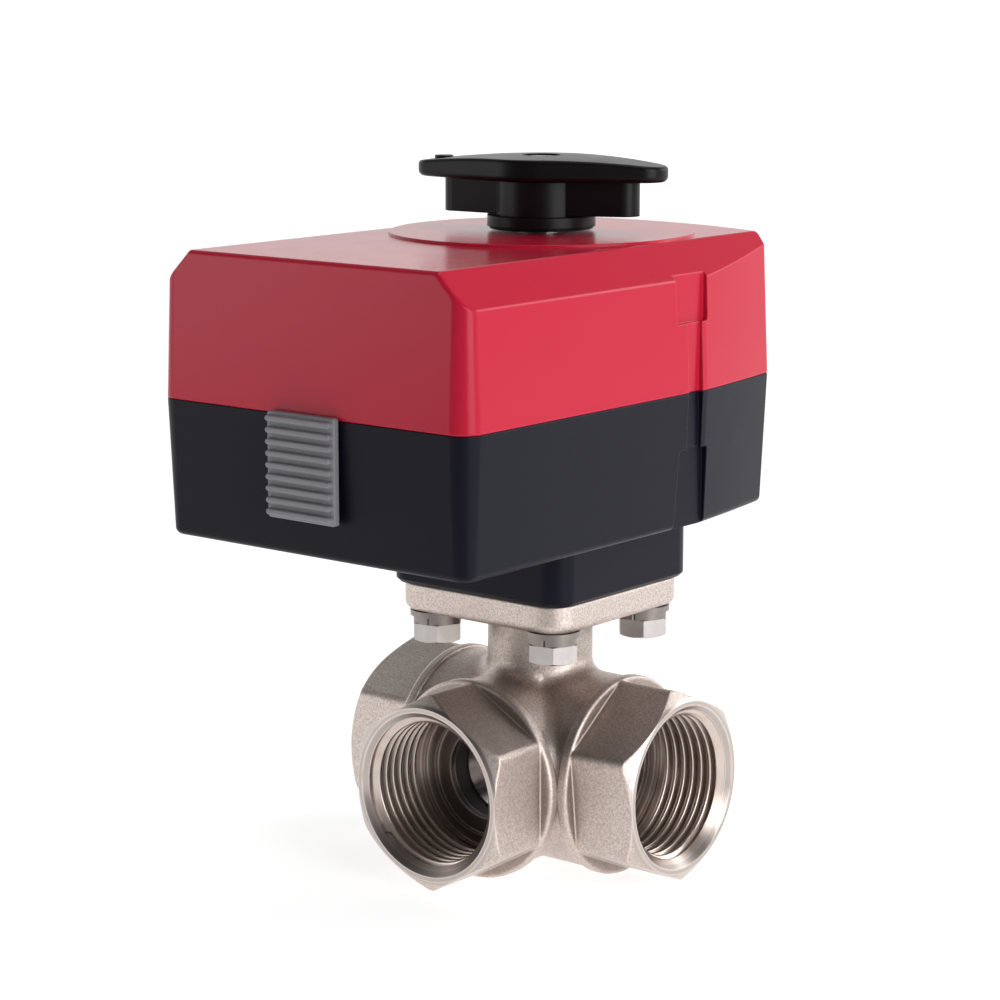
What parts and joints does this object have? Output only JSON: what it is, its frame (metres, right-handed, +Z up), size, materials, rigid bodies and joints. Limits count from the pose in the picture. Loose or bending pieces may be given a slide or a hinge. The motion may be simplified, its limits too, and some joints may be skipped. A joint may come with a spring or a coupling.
{
  "type": "motorised three-way zone valve",
  "caption": "Three-way threaded ball valve with a gear-motor actuator, clutch-release slide, manual position knob and cable gland.",
  "frame": {"origin": "where the stem axis crosses the axes of the three ports", "axes": "+Z up along the stem, -Y out of port A, +X out of port B, -X out of port C; the housing's curved end faces +Y"},
  "size_m": [0.065, 0.1067, 0.1226],
  "materials": {
    "nickel_plated_brass": "satin nickel plate over cast brass",
    "stem_steel": "turned",
    "chromed_ball": "polished chrome plate",
    "seat_ptfe": "smooth carbon-filled PTFE",
    "seal_rubber": "smooth black rubber",
    "fastener_steel": "bright stainless",
    "spring_steel": "drawn wire",
    "insert_brass": "turned brass",
    "black_plastic": "satin black moulded plastic",
    "red_plastic": "satin red moulded plastic",
    "knob_plastic": "semi-gloss black moulded plastic",
    "grey_plastic": "matt grey moulded plastic",
    "gland_nylon": "satin black nylon",
    "gear_acetal": "smooth natural acetal",
    "pinion_brass": "cut brass",
    "zinc_sheet": "zinc-plated sheet",
    "switch_plastic": "black phenolic",
    "plunger_plastic": "smooth red plastic",
    "board_laminate": "solder-masked laminate",
    "relay_plastic": "smooth blue plastic",
    "capacitor_plastic": "smooth yellow box",
    "terminal_plastic": "smooth green plastic"
  },
  "bodies": {
    "root": {"valve_body": "nickel_plated_brass", "port_connector_b": "nickel_plated_brass", "port_connector_c": "nickel_plated_brass", "gland_locknut": "nickel_plated_brass", "ball_seat_a": "seat_ptfe", "ball_seat_b": "seat_ptfe", "ball_seat_c": "seat_ptfe", "stem_washer": "seat_ptfe", "seat_oring_a": "seal_rubber", "seat_oring_b": "seal_rubber", "seat_oring_c": "seal_rubber", "connector_oring_b": "seal_rubber", "connector_oring_c": "seal_rubber", "cover_gasket": "seal_rubber", "shaft_seal": "seal_rubber", "gland_seal": "seal_rubber", "flange_bolts": "fastener_steel", "flat_washers": "fastener_steel", "spring_washers": "fastener_steel", "cover_screws": "fastener_steel", "plate_screws": "fastener_steel", "motor_screws": "fastener_steel", "switch_screws": "fastener_steel", "board_screws": "fastener_steel", "board_standoffs": "fastener_steel", "release_springs": "spring_steel", "threaded_inserts": "insert_brass", "lower_bush": "insert_brass", "upper_bush": "insert_brass", "actuator_base": "black_plastic", "top_cover": "red_plastic", "gland_body": "gland_nylon", "gland_nut": "gland_nylon", "gear_plate": "zinc_sheet", "motor_can": "zinc_sheet", "limit_switch_open": "switch_plastic", "limit_switch_close": "switch_plastic", "circuit_board": "board_laminate", "board_relay": "relay_plastic", "motor_capacitor": "capacitor_plastic", "terminal_block": "terminal_plastic", "idler_pin": "stem_steel"},
    "drive": {"ball": "chromed_ball", "stem": "stem_steel", "stem_orings": "seal_rubber", "output_shaft": "stem_steel", "output_gear": "gear_acetal", "open_cam": "gear_acetal", "close_cam": "gear_acetal", "manual_knob": "knob_plastic", "knob_screw": "fastener_steel"},
    "release": {"release_slider": "grey_plastic", "release_fork": "zinc_sheet"},
    "idler": {"idler_gear": "gear_acetal"},
    "motor_rotor": {"motor_shaft": "stem_steel", "motor_pinion": "pinion_brass"},
    "plunger_open": {"switch_plunger_open": "plunger_plastic"},
    "plunger_close": {"switch_plunger_close": "plunger_plastic"}
  },
  "joints": [
    {"name": "valve_turn", "type": "hinge", "parent": "root", "child": "drive", "pos_m": [0, 0, 0], "axis": [0, 0, 1], "range_deg": [-90, 0]},
    {"name": "clutch_release", "type": "slide", "parent": "root", "child": "release", "axis": [0, 0, 1], "range_m": [0, 0.0034], "stiffness_N_per_m": 150, "springref_m": -0.01, "deforming": ["release_springs"]},
    {"name": "idler_spin", "type": "hinge", "parent": "release", "child": "idler", "pos_m": [0, -0.026, 0], "axis": [0, 0, 1], "range_deg": [0, 300]},
    {"name": "motor_spin", "type": "hinge", "parent": "root", "child": "motor_rotor", "pos_m": [0, -0.0452, 0], "axis": [0, 0, 1], "range_deg": [-900, 0]},
    {"name": "open_switch_press", "type": "slide", "parent": "root", "child": "plunger_open", "axis": [1, 0, 0], "range_m": [0, 0.0006], "stiffness_N_per_m": 300, "springref_m": -0.0005},
    {"name": "close_switch_press", "type": "slide", "parent": "root", "child": "plunger_close", "axis": [1, 0, 0], "range_m": [0, 0.0006], "stiffness_N_per_m": 300, "springref_m": -0.0005}
  ],
  "couplings": [
    {"joint": "idler_spin", "follows": "valve_turn", "ratio": -3.3333},
    {"joint": "motor_spin", "follows": "valve_turn", "ratio": 10}
  ]
}
